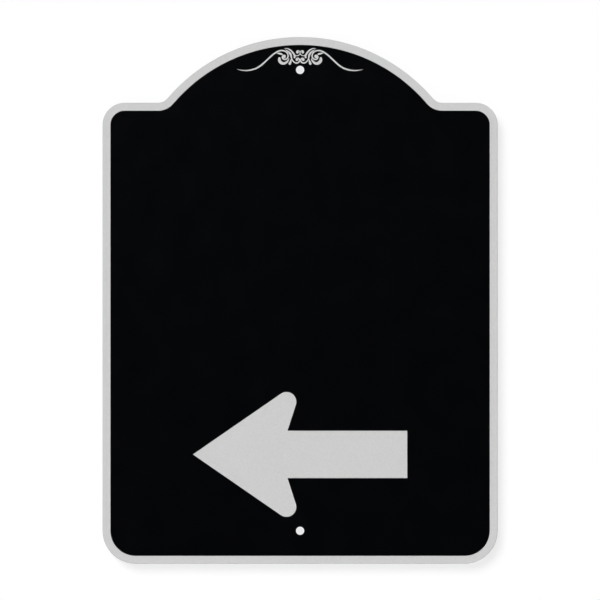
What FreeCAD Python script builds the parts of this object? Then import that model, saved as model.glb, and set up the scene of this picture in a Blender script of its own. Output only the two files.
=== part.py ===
import FreeCAD, Part
import math
import os

import Sketcher

# One way sign: a flat arched panel of sheet metal, 18 by 24 inches, with a silver film on its
# front and a black film on that, whose windows are an arrow and a scroll flourish. Two bolts
# hold it to one post.
#
# Frame, in millimetres: +Z is up, +X is to the reader's right, and the face looks along -Y.
# The origin is midway between the two bolt holes, on the back face of the metal.

doc = FreeCAD.newDocument("OneWaySign")

# Driving sizes
driving_sizes = [
    # The panel's outline
    ("panel_width", 457.2, "18 in"),
    ("panel_height", 609.6, "24 in, lower edge to crown of the arch"),
    ("arch_rise", 76.2, "crown of the arch above the shoulders, 3 in"),
    ("shoulder_flat", 38.9, "straight part of each shoulder"),
    ("neck_radius", 13.7, "hollow corner between shoulder and arch"),
    ("upper_corner_radius", 25.4, "1 in"),
    ("lower_corner_radius", 38.1, "1.5 in"),
    ("blank_thickness", 2.03, "0.080 in sheet"),
    ("edge_break", 0.3, "deburred outer edges of the sheet"),
    # The bolt holes
    ("hole_diameter", 9.525, "3/8 in"),
    ("hole_margin", 38.1, "hole centre to the panel's upper or lower edge"),
    # The films
    ("sheeting_thickness", 0.25, "reflective film"),
    ("overlay_thickness", 0.1, "black film"),
    ("border_width", 9.1, "silver left bare around the black film"),
    # The arrow
    ("arrow_length", 248.1, "tip to tail"),
    ("arrow_level", 126.5, "arrow's centre line above the panel's lower edge"),
    ("shaft_width", 54.8, "arrow's shaft"),
    ("notch_reach", 109.5, "tip to where the head meets the shaft"),
    ("wing_reach", 108.3, "tip to the centre of each wing's round end, along the arrow"),
    ("wing_spread", 121.8, "between the centres of the two round ends"),
    ("wing_radius", 11.4, "round end of each wing"),
    # The flourish under the crown
    ("flourish_span", 145.2, "tip to tip of the two tails"),
    ("flourish_rise", 15.2, "great volutes above the upper bolt hole"),
]

sheet = doc.addObject("Spreadsheet::Sheet", "Sizes")
for row, (alias, value, note) in enumerate(driving_sizes, start=1):
    sheet.set("A%d" % row, alias)
    sheet.set("B%d" % row, str(value))
    sheet.set("C%d" % row, note)
    sheet.setAlias("B%d" % row, alias)
doc.recompute()

# How an edge's start, end and centre are numbered, and the frame's own origin and upright line
START, END, CENTRE = range(1, 4)
ORIGIN, UPRIGHT_AXIS = range(-1, -3, -1)

# Turns what is drawn in X and Y to stand in the frame's X and Z
UPRIGHT = FreeCAD.Placement(FreeCAD.Vector(0, 0, 0),
                            FreeCAD.Rotation(FreeCAD.Vector(1, 0, 0), 90))


def size(alias):
    return float(getattr(sheet, alias))


def new_body(name):
    body = doc.addObject("PartDesign::Body", name)
    body.Label = name
    return body


# A sketch in the XZ plane: its X is the frame's X and its Y is the frame's Z. It lies on the
# origin plane of its body, or by itself where the piece is drawn flat and thickened last.
def new_sketch(body, name):
    if body is None:
        sketch = doc.addObject("Sketcher::SketchObject", name)
        sketch.Placement = UPRIGHT
        return sketch
    plane = None
    for feature in body.Origin.OriginFeatures:
        if feature.Role == "XZ_Plane":
            plane = feature
    sketch = body.newObject("Sketcher::SketchObject", name)
    sketch.AttachmentSupport = [(plane, "")]
    sketch.MapMode = "FlatFace"
    return sketch


def flat(x, z):
    return FreeCAD.Vector(x, z, 0)


def add_line(sketch, begin, end, construction=False):
    return sketch.addGeometry(Part.LineSegment(flat(*begin), flat(*end)), construction)


# An arc that runs anticlockwise between two angles in degrees
def add_arc(sketch, centre, radius, angle_from, angle_to):
    circle = Part.Circle(flat(*centre), FreeCAD.Vector(0, 0, 1), radius)
    arc = Part.ArcOfCircle(circle, math.radians(angle_from), math.radians(angle_to))
    return sketch.addGeometry(arc, False)


def constrain(sketch, *terms):
    return sketch.addConstraint(Sketcher.Constraint(*terms))


# A dimension with a name, driven by a formula over the sheet's sizes
def dimension(sketch, name, formula, *terms):
    index = constrain(sketch, *terms)
    sketch.renameConstraint(index, name)
    sketch.setExpression("Constraints." + name, formula)


# The arched outline, drawn a given distance inside the panel's own edge. Every straight edge
# runs tangent into its arcs, so the offset changes only radii and levels.
def draw_arched_outline(body, name, inset, inset_formula):
    sketch = new_sketch(body, name)
    half_width = size("panel_width") / 2 - inset
    crown = size("panel_height") / 2 - inset
    shoulder = crown - size("arch_rise")
    lower_radius = size("lower_corner_radius") - inset
    upper_radius = size("upper_corner_radius") - inset
    neck_radius = size("neck_radius") + inset
    lower_x = half_width - lower_radius
    lower_z = lower_radius - crown
    upper_x = half_width - upper_radius
    upper_z = shoulder - upper_radius
    neck_x = upper_x - size("shoulder_flat")
    neck_z = shoulder + neck_radius
    rise = size("arch_rise")
    arch_radius = (neck_x ** 2 + rise ** 2) / (2 * rise) - neck_radius
    arch_z = crown - arch_radius
    lean = math.degrees(math.atan2(neck_z - arch_z, neck_x))

    bottom = add_line(sketch, (-lower_x, -crown), (lower_x, -crown))
    lower_right = add_arc(sketch, (lower_x, lower_z), lower_radius, 270, 360)
    right = add_line(sketch, (half_width, lower_z), (half_width, upper_z))
    upper_right = add_arc(sketch, (upper_x, upper_z), upper_radius, 0, 90)
    shoulder_right = add_line(sketch, (upper_x, shoulder), (neck_x, shoulder))
    neck_right = add_arc(sketch, (neck_x, neck_z), neck_radius, 180 + lean, 270)
    arch = add_arc(sketch, (0, arch_z), arch_radius, lean, 180 - lean)
    neck_left = add_arc(sketch, (-neck_x, neck_z), neck_radius, 270, 360 - lean)
    shoulder_left = add_line(sketch, (-neck_x, shoulder), (-upper_x, shoulder))
    upper_left = add_arc(sketch, (-upper_x, upper_z), upper_radius, 90, 180)
    left = add_line(sketch, (-half_width, upper_z), (-half_width, lower_z))
    lower_left = add_arc(sketch, (-lower_x, lower_z), lower_radius, 180, 270)
    top_of_arch = sketch.addGeometry(Part.Point(flat(0, crown)), True)

    joins = [
        (bottom, END, lower_right, START),
        (lower_right, END, right, START),
        (right, END, upper_right, START),
        (upper_right, END, shoulder_right, START),
        (shoulder_right, END, neck_right, END),
        (neck_right, START, arch, START),
        (arch, END, neck_left, END),
        (neck_left, START, shoulder_left, START),
        (shoulder_left, END, upper_left, START),
        (upper_left, END, left, START),
        (left, END, lower_left, START),
        (lower_left, END, bottom, START),
    ]
    for join in joins:
        constrain(sketch, "Tangent", *join)
    constrain(sketch, "Horizontal", shoulder_right)
    constrain(sketch, "Horizontal", shoulder_left)
    constrain(sketch, "Horizontal", shoulder_right, START, shoulder_left, END)
    constrain(sketch, "Vertical", right)
    constrain(sketch, "Vertical", left)
    constrain(sketch, "Symmetric", bottom, START, bottom, END, UPRIGHT_AXIS)
    constrain(sketch, "Equal", lower_right, lower_left)
    constrain(sketch, "Equal", upper_right, upper_left)
    constrain(sketch, "Equal", neck_right, neck_left)
    constrain(sketch, "PointOnObject", arch, CENTRE, UPRIGHT_AXIS)
    constrain(sketch, "PointOnObject", top_of_arch, START, UPRIGHT_AXIS)
    constrain(sketch, "PointOnObject", top_of_arch, START, arch)

    dimension(sketch, "width", "Sizes.panel_width - 2 * (%s)" % inset_formula,
              "DistanceX", left, START, right, END, 2 * half_width)
    dimension(sketch, "below_centre", "Sizes.panel_height / 2 - (%s)" % inset_formula,
              "DistanceY", bottom, START, ORIGIN, START, crown)
    dimension(sketch, "above_centre", "Sizes.panel_height / 2 - (%s)" % inset_formula,
              "DistanceY", ORIGIN, START, top_of_arch, START, crown)
    dimension(sketch, "rise", "Sizes.arch_rise",
              "DistanceY", shoulder_right, START, top_of_arch, START, rise)
    dimension(sketch, "flat", "Sizes.shoulder_flat",
              "DistanceX", shoulder_right, END, shoulder_right, START, size("shoulder_flat"))
    dimension(sketch, "lower_corner", "Sizes.lower_corner_radius - (%s)" % inset_formula,
              "Radius", lower_right, lower_radius)
    dimension(sketch, "upper_corner", "Sizes.upper_corner_radius - (%s)" % inset_formula,
              "Radius", upper_right, upper_radius)
    dimension(sketch, "neck", "Sizes.neck_radius + (%s)" % inset_formula,
              "Radius", neck_right, neck_radius)
    return sketch


# The two bolt holes, one above the other on the panel's centre line
def draw_bolt_holes(body, name):
    sketch = new_sketch(body, name)
    radius = size("hole_diameter") / 2
    level = size("panel_height") / 2 - size("hole_margin")
    facing = FreeCAD.Vector(0, 0, 1)
    upper = sketch.addGeometry(Part.Circle(flat(0, level), facing, radius), False)
    lower = sketch.addGeometry(Part.Circle(flat(0, -level), facing, radius), False)
    constrain(sketch, "PointOnObject", upper, CENTRE, UPRIGHT_AXIS)
    constrain(sketch, "PointOnObject", lower, CENTRE, UPRIGHT_AXIS)
    constrain(sketch, "Equal", upper, lower)
    dimension(sketch, "hole", "Sizes.hole_diameter", "Diameter", upper, 2 * radius)
    dimension(sketch, "upper_level", "Sizes.panel_height / 2 - Sizes.hole_margin",
              "DistanceY", ORIGIN, START, upper, CENTRE, level)
    dimension(sketch, "lower_level", "Sizes.panel_height / 2 - Sizes.hole_margin",
              "DistanceY", lower, CENTRE, ORIGIN, START, level)
    return sketch


# The arrow points left. Each edge of the head runs from the sharp tip tangent into the wing's
# round end, and from there tangent back to the notch on the shaft.
def draw_arrow(body, name):
    sketch = new_sketch(body, name)
    level = size("arrow_level") - size("panel_height") / 2
    tip_x = -size("arrow_length") / 2
    tail_x = size("arrow_length") / 2
    wing_x = tip_x + size("wing_reach")
    notch_x = tip_x + size("notch_reach")
    wing_rise = size("wing_spread") / 2
    shaft_rise = size("shaft_width") / 2
    radius = size("wing_radius")

    # Angles, seen from the wing's centre, at which the front edge and the back edge touch it
    to_tip = math.hypot(size("wing_reach"), wing_rise)
    front_slope = math.atan2(wing_rise, size("wing_reach")) + math.asin(radius / to_tip)
    front_angle = math.degrees(front_slope) + 90
    to_notch = math.hypot(notch_x - wing_x, wing_rise - shaft_rise)
    notch_direction = math.atan2(shaft_rise - wing_rise, notch_x - wing_x)
    back_angle = math.degrees(notch_direction + math.acos(radius / to_notch))

    def on_wing(angle, side):
        x = wing_x + radius * math.cos(math.radians(angle))
        z = wing_rise + radius * math.sin(math.radians(angle))
        return (x, level + side * z)

    tip = (tip_x, level)
    upper_notch = (notch_x, level + shaft_rise)
    lower_notch = (notch_x, level - shaft_rise)
    upper_tail = (tail_x, level + shaft_rise)
    lower_tail = (tail_x, level - shaft_rise)

    upper_front = add_line(sketch, tip, on_wing(front_angle, 1))
    upper_wing = add_arc(sketch, (wing_x, level + wing_rise), radius, back_angle, front_angle)
    upper_back = add_line(sketch, on_wing(back_angle, 1), upper_notch)
    upper_side = add_line(sketch, upper_notch, upper_tail)
    tail = add_line(sketch, upper_tail, lower_tail)
    lower_side = add_line(sketch, lower_tail, lower_notch)
    lower_back = add_line(sketch, lower_notch, on_wing(back_angle, -1))
    lower_wing = add_arc(sketch, (wing_x, level - wing_rise), radius, -front_angle, -back_angle)
    lower_front = add_line(sketch, on_wing(front_angle, -1), tip)
    axis = add_line(sketch, tip, (tail_x, level), True)

    corners = [
        (lower_front, END, upper_front, START),
        (upper_back, END, upper_side, START),
        (upper_side, END, tail, START),
        (tail, END, lower_side, START),
        (lower_side, END, lower_back, START),
        (axis, START, upper_front, START),
    ]
    for corner in corners:
        constrain(sketch, "Coincident", *corner)
    touches = [
        (upper_front, END, upper_wing, END),
        (upper_wing, START, upper_back, START),
        (lower_back, END, lower_wing, END),
        (lower_wing, START, lower_front, START),
    ]
    for touch in touches:
        constrain(sketch, "Tangent", *touch)
    constrain(sketch, "Horizontal", axis)
    constrain(sketch, "PointOnObject", axis, END, tail)
    constrain(sketch, "Horizontal", upper_side)
    constrain(sketch, "Symmetric", tail, START, tail, END, axis)
    constrain(sketch, "Symmetric", upper_back, END, lower_back, START, axis)
    constrain(sketch, "Symmetric", upper_wing, CENTRE, lower_wing, CENTRE, axis)
    constrain(sketch, "Equal", upper_wing, lower_wing)

    dimension(sketch, "tip_reach", "Sizes.arrow_length / 2",
              "DistanceX", upper_front, START, ORIGIN, START, tail_x)
    dimension(sketch, "axis_drop", "Sizes.panel_height / 2 - Sizes.arrow_level",
              "DistanceY", upper_front, START, ORIGIN, START, -level)
    dimension(sketch, "arrow_length", "Sizes.arrow_length",
              "DistanceX", upper_front, START, upper_side, END, size("arrow_length"))
    dimension(sketch, "shaft", "Sizes.shaft_width",
              "DistanceY", tail, END, tail, START, size("shaft_width"))
    dimension(sketch, "notch", "Sizes.notch_reach",
              "DistanceX", upper_front, START, upper_back, END, size("notch_reach"))
    dimension(sketch, "wing", "Sizes.wing_reach",
              "DistanceX", upper_front, START, upper_wing, CENTRE, size("wing_reach"))
    dimension(sketch, "spread", "Sizes.wing_spread",
              "DistanceY", lower_wing, CENTRE, upper_wing, CENTRE, size("wing_spread"))
    dimension(sketch, "wing_round", "Sizes.wing_radius", "Radius", upper_wing, radius)
    return sketch


# The flourish's left half, in millimetres at a span of 145.2. A stroke is a row of points
# (x, z, width) along its middle line, x from the sign's centre line and z from the level of
# the great volutes. Its line and its width both run smoothly from point to point.
def volute(centre, angles, radii, widths):
    points = []
    tightening = 2.2
    steps = math.ceil(abs(angles[1] - angles[0]) / 45)
    for step in range(steps + 1):
        part_way = step / steps
        angle = math.radians(angles[0] + (angles[1] - angles[0]) * part_way)
        radius = radii[1] + (radii[0] - radii[1]) * (1 - part_way) ** tightening
        width = widths[0] + (widths[1] - widths[0]) * part_way
        x = centre[0] + radius * math.cos(angle)
        z = centre[1] + radius * math.sin(angle)
        points.append((x, z, width))
    return points


strokes = {
    "tail": [
        (-72.6, -14.4, 0.3), (-66.7, -15.75, 1.1), (-49.4, -12.65, 1.8), (-28.3, 4.8, 1.7),
        (-20.6, 7.25, 1.6),
        *volute((-18.5, 0), (46, -320), (5.5, 1.5), (1.6, 1.8)),
    ],
    "small_leaf": [
        (-26.8, 4.4, 0.6), (-22.7, 3.45, 2.1), (-20.9, 2.9, 1.7),
    ],
    "great_leaf": [
        (-23.9, -1.9, 2.8), (-23.1, -5.7, 3.5), (-19.0, -7.7, 3.0), (-13.6, -3.7, 1.5),
        (-12.9, -1.9, 0.5),
    ],
    "inner_crescent": [
        (-17.4, 8.5, 0.3), (-15.3, 7.2, 1.2), (-10.6, 2.0, 2.3), (-9.9, -1.7, 1.5),
        *volute((-3.2, -3.3), (-100, 220), (4.0, 1.2), (1.6, 1.5)),
    ],
    "outer_crescent": [
        (-18.4, 9.4, 0.3), (-16.5, 9.7, 0.7), (-6.9, 2.5, 2.1), (-6.3, 0.7, 2.2),
        (-6.5, -0.7, 2.1),
    ],
    "upper_link": [
        (-5.9, 2.0, 0.9), (-2.9, 1.3, 1.0),
        *volute((-2.9, 5.3), (-36, 250), (3.3, 1.0), (1.0, 1.3)),
    ],
    "drop_leaf": [
        (-10.2, -2.2, 0.4), (-10.6, -4.3, 1.6), (-11.9, -7.9, 3.0),
    ],
}

# The filled eye of each volute: (x, z, radius)
eyes = {
    "tail_eye": (-18.4, 0.25, 1.8),
    "crescent_eye": (-3.5, -3.2, 1.5),
    "link_eye": (-3.0, 5.2, 1.4),
}


# The outline of a stroke: a smooth curve down each side and a round cap on each end
def stroke_face(points, scale):
    middle = Part.BSplineCurve()
    middle.interpolate([FreeCAD.Vector(*point) * scale for point in points])
    stations_per_span = 3
    stations = stations_per_span * (len(points) - 1)
    left = []
    right = []
    caps = []
    for station in range(stations + 1):
        place = middle.FirstParameter + (
            middle.LastParameter - middle.FirstParameter) * station / stations
        point = middle.value(place)
        heading = middle.tangent(place)[0]
        along = flat(heading.x, heading.y).normalize() * (point.z / 2)
        across = flat(-along.y, along.x)
        centre = flat(point.x, point.y)
        left.append(centre + across)
        right.append(centre - across)
        caps.append((centre - along, centre + along))
    left_side = Part.BSplineCurve()
    left_side.interpolate(left)
    right_side = Part.BSplineCurve()
    right_side.interpolate(right)
    end_cap = Part.Arc(left[-1], caps[-1][1], right[-1])
    start_cap = Part.Arc(right[0], caps[0][0], left[0])
    curves = (left_side, end_cap, right_side, start_cap)
    return Part.Face(Part.Wire([curve.toShape() for curve in curves]))


def flat_face(name, sketch):
    face = doc.addObject("Part::Face", name)
    face.Sources = [sketch]
    face.FaceMakerClass = "Part::FaceMakerBullseye"
    return face


# A flat shape that stands in the XZ plane at the level of the great volutes
def stand_flat(name, face):
    item = doc.addObject("Part::Feature", name)
    item.Shape = face
    item.Placement = UPRIGHT
    item.setExpression(
        "Placement.Base.z",
        "Sizes.panel_height / 2 - Sizes.hole_margin + Sizes.flourish_rise")
    return item


def draw_flourish():
    drawn_span = -2 * strokes["tail"][0][0]
    scale = size("flourish_span") / drawn_span
    pieces = []
    for name, points in strokes.items():
        pieces.append(stand_flat(name, stroke_face(points, scale)))
    for name, (x, z, radius) in eyes.items():
        eye = Part.Circle(flat(x, z) * scale, FreeCAD.Vector(0, 0, 1), radius * scale)
        pieces.append(stand_flat(name, Part.Face(Part.Wire(eye.toShape()))))
    left = doc.addObject("Part::MultiFuse", "left_flourish")
    left.Shapes = pieces
    right = doc.addObject("Part::Mirroring", "right_flourish")
    right.Source = left
    right.Normal = (1, 0, 0)
    right.Base = (0, 0, 0)
    return left, right


# Raises a sketch towards the front of the sign
def raise_forward(body, name, sketch, thickness_formula):
    pad = body.newObject("PartDesign::Pad", name)
    pad.Profile = sketch
    pad.setExpression("Length", thickness_formula)
    doc.recompute()
    return pad


# Cuts a sketch forward from the back of the piece, right through
def cut_through(body, name, sketch):
    volume_before = body.Shape.Volume
    pocket = body.newObject("PartDesign::Pocket", name)
    pocket.Profile = sketch
    pocket.Type = "ThroughAll"
    pocket.Reversed = True
    doc.recompute()
    if body.Shape.Volume >= volume_before:
        raise RuntimeError(name + " cuts nothing")
    return pocket


# The metal: its outline cut from sheet, its outer edges deburred, then the holes punched
blank = new_body("aluminium_blank")
blank_outline = draw_arched_outline(blank, "blank_outline", 0, "0")
blank_plate = raise_forward(blank, "blank_plate", blank_outline, "Sizes.blank_thickness")
face_names = []
for number, face in enumerate(blank_plate.Shape.Faces, start=1):
    normal = face.normalAt(0, 0)
    if abs(normal.y) > 0.99:
        face_names.append("Face%d" % number)
broken_edges = blank.newObject("PartDesign::Chamfer", "broken_edges")
broken_edges.Base = (blank_plate, face_names)
broken_edges.setExpression("Size", "Sizes.edge_break")
doc.recompute()
cut_through(blank, "blank_holes", draw_bolt_holes(blank, "blank_hole_layout"))

# The silver film covers the flat of the front face, up to the broken edge
sheeting = new_body("silver_sheeting")
sheeting.setExpression("Placement.Base.y", "-Sizes.blank_thickness")
sheeting_outline = draw_arched_outline(sheeting, "sheeting_outline",
                                       size("edge_break"), "Sizes.edge_break")
raise_forward(sheeting, "sheeting_film", sheeting_outline, "Sizes.sheeting_thickness")
cut_through(sheeting, "sheeting_holes", draw_bolt_holes(sheeting, "sheeting_hole_layout"))

# The black film leaves the border bare, and the silver shows through its windows. It is drawn
# flat as the real one is cut, and thickened last.
field = flat_face("black_field", draw_arched_outline(None, "field_outline",
                                                     size("border_width"), "Sizes.border_width"))
left_flourish, right_flourish = draw_flourish()
windows = doc.addObject("Part::MultiFuse", "windows")
windows.Shapes = [
    flat_face("bolt_windows", draw_bolt_holes(None, "field_hole_layout")),
    flat_face("arrow_window", draw_arrow(None, "arrow_layout")),
    left_flourish,
    right_flourish,
]
cut_field = doc.addObject("Part::Cut", "cut_field")
cut_field.Base = field
cut_field.Tool = windows
overlay = doc.addObject("Part::Extrusion", "black_overlay")
overlay.Label = "black_overlay"
overlay.Base = cut_field
overlay.DirMode = "Custom"
overlay.Dir = (0, -1, 0)
overlay.Solid = True
overlay.setExpression("LengthFwd", "Sizes.overlay_thickness")
overlay.setExpression("Placement.Base.y", "-Sizes.blank_thickness - Sizes.sheeting_thickness")

doc.recompute()
for item in doc.Objects:
    if "Invalid" in item.State or "Error" in item.State:
        raise RuntimeError("%s did not recompute: %s" % (item.Name, item.State))
    if item.isDerivedFrom("Sketcher::SketchObject") and not item.FullyConstrained:
        raise RuntimeError(item.Name + " is not fully constrained")

os.makedirs("parts", exist_ok=True)
for part in (blank, sheeting, overlay):
    if part.Shape.isNull() or not part.Shape.isValid():
        raise RuntimeError(part.Label + " has no valid shape")
    if len(part.Shape.Solids) != 1:
        raise RuntimeError(part.Label + " is not one piece")
    part.Shape.exportStep("parts/%s.step" % part.Label)
    print(part.Label, round(part.Shape.Volume, 1), part.Shape.BoundBox)
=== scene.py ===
import math

import bpy
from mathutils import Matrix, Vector


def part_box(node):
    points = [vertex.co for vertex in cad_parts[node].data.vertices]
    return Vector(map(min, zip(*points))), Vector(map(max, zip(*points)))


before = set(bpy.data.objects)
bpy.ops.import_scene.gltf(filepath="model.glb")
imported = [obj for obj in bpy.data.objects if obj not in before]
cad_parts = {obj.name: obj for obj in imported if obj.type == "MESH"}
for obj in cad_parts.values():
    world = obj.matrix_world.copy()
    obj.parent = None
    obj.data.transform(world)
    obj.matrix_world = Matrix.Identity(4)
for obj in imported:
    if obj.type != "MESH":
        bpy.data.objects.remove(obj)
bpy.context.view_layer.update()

# Road sign panel, seen straight on. Z is up and the face looks along -Y.
# The blank and its two films are the frame's own nodes and get their finish here.
mm = 0.001
noiseSpread = (0.3, 0.7)  # nearly all of a noise texture's values lie between these


def linearColor(hexText):
    # sRGB hex to the linear values that the shaders work in
    channels = []
    for start in (0, 2, 4):
        value = int(hexText[start:start + 2], 16) / 255
        channels.append(value / 12.92 if value <= 0.04045 else ((value + 0.055) / 1.055) ** 2.4)
    return (*channels, 1)


def addNode(tree, kind, settings=None, links=None):
    # settings: an attribute name, or an input's name or number; links: input -> output socket
    node = tree.nodes.new(kind)
    for name, value in (settings or {}).items():
        if isinstance(name, str) and hasattr(node, name):
            setattr(node, name, value)
        else:
            node.inputs[name].default_value = value
    for name, source in (links or {}).items():
        tree.links.new(source, node.inputs[name])
    return node


def newMaterial(name):
    material = bpy.data.materials.new(name)
    material.use_nodes = True
    material.node_tree.nodes.clear()
    return material, material.node_tree


def dress(piece, material):
    piece.data.materials.clear()
    piece.data.materials.append(material)


# Retroreflective sheeting: tiny glass beads over a silvered layer, under a cast clear film.
# To the eye it is an even pale grey, satin, with a fine grain of beads close up.
silverSheeting = {
    "color": "C8C8C8",
    "paleGrain": "D3D3D3",
    "beads": 0.9 * mm,  # real beads are 0.07 mm, drawn as coarse as the render can show
    "mottle": 45 * mm,  # slow drift of the coating's tone
    "beadShare": 0.7,  # how much of the tone comes from single beads, against the drift
    "beadHeight": 0.012 * mm,
    "relief": 0.5,  # how much of that height shows
    "roughness": 0.42,
    "ior": 1.49,  # acrylic
    "faceGloss": 0.3,  # the shader's specular level, low because the clear face is satin
}


def makeSilverSheeting(look):
    material, tree = newMaterial("retroreflective_sheeting_glass_bead")
    place = addNode(tree, "ShaderNodeTexCoord").outputs["Object"]
    beads = addNode(tree, "ShaderNodeTexVoronoi",
                    {"Scale": 1 / look["beads"], "Randomness": 0.9}, {"Vector": place})
    mottle = addNode(tree, "ShaderNodeTexNoise",
                     {"Scale": 1 / look["mottle"], "Detail": 3}, {"Vector": place})
    grain = addNode(tree, "ShaderNodeSeparateColor", {}, {"Color": beads.outputs["Color"]})
    brightness = addNode(tree, "ShaderNodeMix", {0: look["beadShare"]},
                         {2: mottle.outputs["Fac"], 3: grain.outputs["Red"]})
    tone = addNode(tree, "ShaderNodeMix",
                   {"data_type": "RGBA", 6: linearColor(look["color"]),
                    7: linearColor(look["paleGrain"])},
                   {0: brightness.outputs[0]})
    relief = addNode(tree, "ShaderNodeBump",
                     {"Strength": look["relief"], "Distance": look["beadHeight"],
                      "invert": True},
                     {"Height": beads.outputs["Distance"]})
    surface = addNode(tree, "ShaderNodeBsdfPrincipled",
                      {"Roughness": look["roughness"], "IOR": look["ior"],
                       "Specular IOR Level": look["faceGloss"]},
                      {"Base Color": tone.outputs[2], "Normal": relief.outputs["Normal"]})
    addNode(tree, "ShaderNodeOutputMaterial", {}, {"Surface": surface.outputs["BSDF"]})
    return material


# Calendered black vinyl film, cut by a plotter and laid on the sheeting. Rolling it thin leaves
# a deep even black with a soft, slightly uneven sheen.
blackVinyl = {
    "color": "020305",
    "cloud": "030406",
    "cloudSize": 30 * mm,
    "skin": 2.2 * mm,  # orange peel of the film
    "skinHeight": 0.02 * mm,
    "relief": 0.5,  # how much of that height shows
    "roughness": (0.185, 0.215),  # from the glossiest patches to the dullest
    "ior": 1.53,  # vinyl
}


def makeBlackVinyl(look):
    material, tree = newMaterial("black_vinyl_film_calendered")
    place = addNode(tree, "ShaderNodeTexCoord").outputs["Object"]
    skin = addNode(tree, "ShaderNodeTexNoise",
                   {"Scale": 1 / look["skin"], "Detail": 2}, {"Vector": place})
    sheen = addNode(tree, "ShaderNodeTexNoise",
                    {"Scale": 1 / look["cloudSize"], "Detail": 4}, {"Vector": place})
    tone = addNode(tree, "ShaderNodeMix",
                   {"data_type": "RGBA", 6: linearColor(look["color"]),
                    7: linearColor(look["cloud"])},
                   {0: sheen.outputs["Fac"]})
    low, high = look["roughness"]
    gloss = addNode(tree, "ShaderNodeMapRange",
                    {"From Min": noiseSpread[0], "From Max": noiseSpread[1],
                     "To Min": low, "To Max": high},
                    {"Value": sheen.outputs["Fac"]})
    relief = addNode(tree, "ShaderNodeBump",
                     {"Strength": look["relief"], "Distance": look["skinHeight"]},
                     {"Height": skin.outputs["Fac"]})
    surface = addNode(tree, "ShaderNodeBsdfPrincipled", {"IOR": look["ior"]},
                      {"Base Color": tone.outputs[2], "Roughness": gloss.outputs["Result"],
                       "Normal": relief.outputs["Normal"]})
    addNode(tree, "ShaderNodeOutputMaterial", {}, {"Surface": surface.outputs["BSDF"]})
    return material


# Rolled aluminium sheet, mill finish. The mill leaves fine straight lines up the sheet and a
# satin gloss that blurs along them; the sheared rim is duller, with short marks across it.
rolledAluminium = {
    "color": "D6D8DA",
    "rollMark": "BFC2C5",
    "rimColor": "AEB1B4",
    "lineWidth": 1.3 * mm,  # mill lines are finer, drawn as coarse as the render can show
    "lineLength": 160 * mm,
    "lineHeight": 0.01 * mm,
    "relief": 0.6,  # how much of that height shows
    "blurAlong": 0.5,  # how far the gloss is drawn out by the lines
    "haze": 60 * mm,  # size of the patches where the gloss drifts
    "shearMarks": 0.5 * mm,
    "roughness": (0.35, 0.41),  # from the glossiest patches to the dullest
    "rimRoughness": 0.55,
    "faceTurn": 0.95,  # how squarely a surface looks along Y to count as the sheet's face
}


def makeRolledAluminium(look):
    material, tree = newMaterial("aluminium_sheet_mill_finish")
    texture = addNode(tree, "ShaderNodeTexCoord")
    place = texture.outputs["Object"]
    along = addNode(tree, "ShaderNodeMapping",
                    {"Scale": (1 / look["lineWidth"], 1 / look["lineWidth"],
                               1 / look["lineLength"])},
                    {"Vector": place})
    lines = addNode(tree, "ShaderNodeTexNoise",
                    {"Scale": 1, "Detail": 5, "Roughness": 0.7},
                    {"Vector": along.outputs["Vector"]})
    haze = addNode(tree, "ShaderNodeTexNoise",
                   {"Scale": 1 / look["haze"], "Detail": 4}, {"Vector": place})
    shear = addNode(tree, "ShaderNodeTexNoise",
                    {"Scale": 1 / look["shearMarks"], "Detail": 2}, {"Vector": place})

    # The sheet's two faces look along Y, and its rim and hole walls don't
    facing = addNode(tree, "ShaderNodeSeparateXYZ", {}, {"Vector": texture.outputs["Normal"]})
    flatness = addNode(tree, "ShaderNodeMath", {"operation": "ABSOLUTE"},
                       {0: facing.outputs["Y"]})
    isFace = addNode(tree, "ShaderNodeMath",
                     {"operation": "GREATER_THAN", 1: look["faceTurn"]},
                     {0: flatness.outputs["Value"]})

    rolled = addNode(tree, "ShaderNodeMix",
                     {"data_type": "RGBA", 6: linearColor(look["color"]),
                      7: linearColor(look["rollMark"])},
                     {0: lines.outputs["Fac"]})
    tone = addNode(tree, "ShaderNodeMix",
                   {"data_type": "RGBA", 6: linearColor(look["rimColor"])},
                   {0: isFace.outputs["Value"], 7: rolled.outputs[2]})
    low, high = look["roughness"]
    faceGloss = addNode(tree, "ShaderNodeMapRange",
                        {"From Min": noiseSpread[0], "From Max": noiseSpread[1],
                         "To Min": low, "To Max": high},
                        {"Value": haze.outputs["Fac"]})
    gloss = addNode(tree, "ShaderNodeMix", {2: look["rimRoughness"]},
                    {0: isFace.outputs["Value"], 3: faceGloss.outputs["Result"]})
    height = addNode(tree, "ShaderNodeMix", {},
                     {0: isFace.outputs["Value"], 2: shear.outputs["Fac"],
                      3: lines.outputs["Fac"]})
    relief = addNode(tree, "ShaderNodeBump",
                     {"Strength": look["relief"], "Distance": look["lineHeight"]},
                     {"Height": height.outputs[0]})
    surface = addNode(tree, "ShaderNodeBsdfPrincipled",
                      {"Metallic": 1, "Anisotropic": look["blurAlong"]},
                      {"Base Color": tone.outputs[2], "Roughness": gloss.outputs[0],
                       "Normal": relief.outputs["Normal"]})
    addNode(tree, "ShaderNodeOutputMaterial", {}, {"Surface": surface.outputs["BSDF"]})
    return material


dress(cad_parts["aluminium_blank"], makeRolledAluminium(rolledAluminium))
dress(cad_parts["silver_sheeting"], makeSilverSheeting(silverSheeting))
dress(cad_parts["black_overlay"], makeBlackVinyl(blackVinyl))
print("sheet and both films finished")


stageSizes = {
    "wallGap": 11 * mm,  # from the sign's back to the wall
    "floorLevel": -420 * mm,
    "reach": 12,  # metres from the sign to the end of the floor and wall
    "paint": "E8E8E8",
    "wallGlow": 0.665,  # what the camera sees of the wall in full shadow, 1 is white
    "floorGlow": 0.84,
    "shadowDepth": 0.35,  # how much full light adds to that
}


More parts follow.
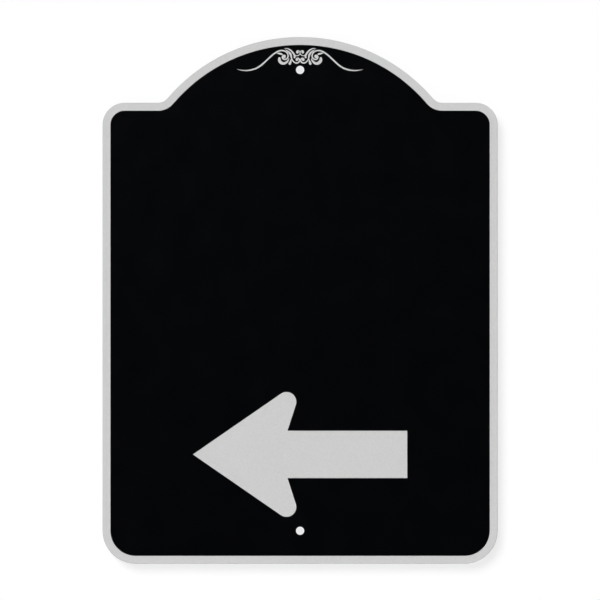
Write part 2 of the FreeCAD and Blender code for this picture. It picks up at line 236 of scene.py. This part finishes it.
def makeBackdropPaint(sizes, glowStrength):
    # Matt white paint. The camera sees it lifted to white, with soft shadows kept, and sees
    # through its far side.
    material, tree = newMaterial("backdrop_matt_white")
    ray = addNode(tree, "ShaderNodeLightPath")
    side = addNode(tree, "ShaderNodeNewGeometry")
    paint = addNode(tree, "ShaderNodeBsdfDiffuse", {"Color": linearColor(sizes["paint"])})
    depth = sizes["shadowDepth"]
    shadowed = addNode(tree, "ShaderNodeBsdfDiffuse", {"Color": (depth, depth, depth, 1)})
    glow = addNode(tree, "ShaderNodeEmission", {"Strength": glowStrength})
    lifted = addNode(tree, "ShaderNodeAddShader", {},
                     {0: shadowed.outputs["BSDF"], 1: glow.outputs["Emission"]})
    seen = addNode(tree, "ShaderNodeMixShader", {},
                   {0: ray.outputs["Is Camera Ray"], 1: paint.outputs["BSDF"],
                    2: lifted.outputs["Shader"]})
    clear = addNode(tree, "ShaderNodeBsdfTransparent")
    oneSided = addNode(tree, "ShaderNodeMixShader", {},
                       {0: side.outputs["Backfacing"], 1: seen.outputs["Shader"],
                        2: clear.outputs["BSDF"]})
    addNode(tree, "ShaderNodeOutputMaterial", {}, {"Surface": oneSided.outputs["Shader"]})
    return material


def makeSheet(name, corners, material):
    data = bpy.data.meshes.new(name)
    data.from_pydata(corners, [], [(0, 1, 2, 3)])
    sheet = bpy.data.objects.new(name, data)
    bpy.context.scene.collection.objects.link(sheet)
    dress(sheet, material)
    return sheet


def makeStage(sizes):
    reach = sizes["reach"]
    level = sizes["floorLevel"]
    wallY = sizes["wallGap"]
    floor = makeSheet("floor", [(-reach, -reach, level), (reach, -reach, level),
                                (reach, reach, level), (-reach, reach, level)],
                      makeBackdropPaint(sizes, sizes["floorGlow"]))
    floor.visible_glossy = False  # keeps the floor out of the black film's sheen
    wall = makeSheet("wall", [(-reach, wallY, level), (reach, wallY, level),
                              (reach, wallY, reach), (-reach, wallY, reach)],
                     makeBackdropPaint(sizes, sizes["wallGlow"]))
    # The wall only catches the shadow that the camera sees, and the back stays lit
    wall.visible_shadow = False
    wall.visible_diffuse = False
    wall.visible_glossy = False
    wall.visible_transmission = False


lightSizes = {
    "keyDirection": (0.58, 1, -0.79),  # from the upper left in front of the sign
    "keyStrength": 2.55,
    "keyAngle": 37,  # degrees, a large soft source
    "fill": 0.25,
    "darkSide": 0.0,  # what a glossy face sees straight in front of the sign
    "darkSpan": (-0.95, 0.1),  # along Y, where that dark gives way to the studio
    "horizon": 0.66,  # what it sees level with the floor, against 1 overhead
    "horizonSpan": (-0.2, 0.6),  # up Z, where the one gives way to the other
    # Softboxes behind the sign, for the bare metal: place, size and power
    "rearSoftboxes": [((-1.0, 1.6, 1.1), 1.6, 5.6), ((1.4, 1.4, 0.1), 1.2, 3)],
}


def makeLight(sizes):
    data = bpy.data.lights.new("key", "SUN")
    data.energy = sizes["keyStrength"]
    data.angle = math.radians(sizes["keyAngle"])
    key = bpy.data.objects.new("key", data)
    key.rotation_mode = "QUATERNION"
    key.rotation_quaternion = Vector(sizes["keyDirection"]).to_track_quat("-Z", "Y")
    bpy.context.scene.collection.objects.link(key)

    for place, width, power in sizes["rearSoftboxes"]:
        softbox = bpy.data.lights.new("rear_softbox", "AREA")
        softbox.size = width
        softbox.energy = power
        rear = bpy.data.objects.new("rear_softbox", softbox)
        rear.location = place
        rear.rotation_mode = "QUATERNION"
        rear.rotation_quaternion = (-rear.location).to_track_quat("-Z", "Y")
        rear.visible_camera = False
        bpy.context.scene.collection.objects.link(rear)

    world = bpy.data.worlds.new("studio")
    bpy.context.scene.world = world
    world.use_nodes = True
    tree = world.node_tree
    tree.nodes.clear()
    ray = addNode(tree, "ShaderNodeLightPath")
    direction = addNode(tree, "ShaderNodeSeparateXYZ", {},
                        {"Vector": addNode(tree, "ShaderNodeTexCoord").outputs["Generated"]})
    # Glossy faces see a white studio that dims to the floor, and is dark in front of the sign
    horizonFoot, horizonTop = sizes["horizonSpan"]
    height = addNode(tree, "ShaderNodeMapRange",
                     {"interpolation_type": "SMOOTHSTEP", "From Min": horizonFoot,
                      "From Max": horizonTop, "To Min": sizes["horizon"], "To Max": 1},
                     {"Value": direction.outputs["Z"]})
    darkEnd, studioStart = sizes["darkSpan"]
    studio = addNode(tree, "ShaderNodeMapRange",
                     {"interpolation_type": "SMOOTHSTEP", "From Min": darkEnd,
                      "From Max": studioStart, "To Min": sizes["darkSide"]},
                     {"Value": direction.outputs["Y"], "To Max": height.outputs["Result"]})
    white = addNode(tree, "ShaderNodeMath", {"operation": "MAXIMUM"},
                    {0: ray.outputs["Is Camera Ray"], 1: ray.outputs["Is Transmission Ray"]})
    lit = addNode(tree, "ShaderNodeMix", {2: sizes["fill"], 3: 1.0},
                  {0: white.outputs["Value"]})
    strength = addNode(tree, "ShaderNodeMix", {},
                       {0: ray.outputs["Is Glossy Ray"], 2: lit.outputs[0],
                        3: studio.outputs["Result"]})
    background = addNode(tree, "ShaderNodeBackground", {"Color": (1, 1, 1, 1)},
                         {"Strength": strength.outputs[0]})
    addNode(tree, "ShaderNodeOutputWorld", {}, {"Surface": background.outputs["Background"]})


# The photograph's frame, a square of this width at the sign's face
cameraSizes = {
    "distance": 5,  # metres
    "viewWidth": 694.4 * mm,
    "aim": (-0.1 * mm, 0.4 * mm),
    "sensor": 36,
}


def makeCamera(sizes):
    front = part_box("black_overlay")[0].y
    data = bpy.data.cameras.new("camera")
    data.sensor_width = sizes["sensor"]
    data.lens = sizes["sensor"] * sizes["distance"] / sizes["viewWidth"]
    camera = bpy.data.objects.new("camera", data)
    aimX, aimZ = sizes["aim"]
    camera.location = (aimX, front - sizes["distance"], aimZ)
    camera.rotation_euler = (math.pi / 2, 0, 0)
    bpy.context.scene.collection.objects.link(camera)
    bpy.context.scene.camera = camera


makeStage(stageSizes)
makeLight(lightSizes)
makeCamera(cameraSizes)
bpy.context.scene.view_settings.view_transform = "Standard"
print("stage, light and camera set")
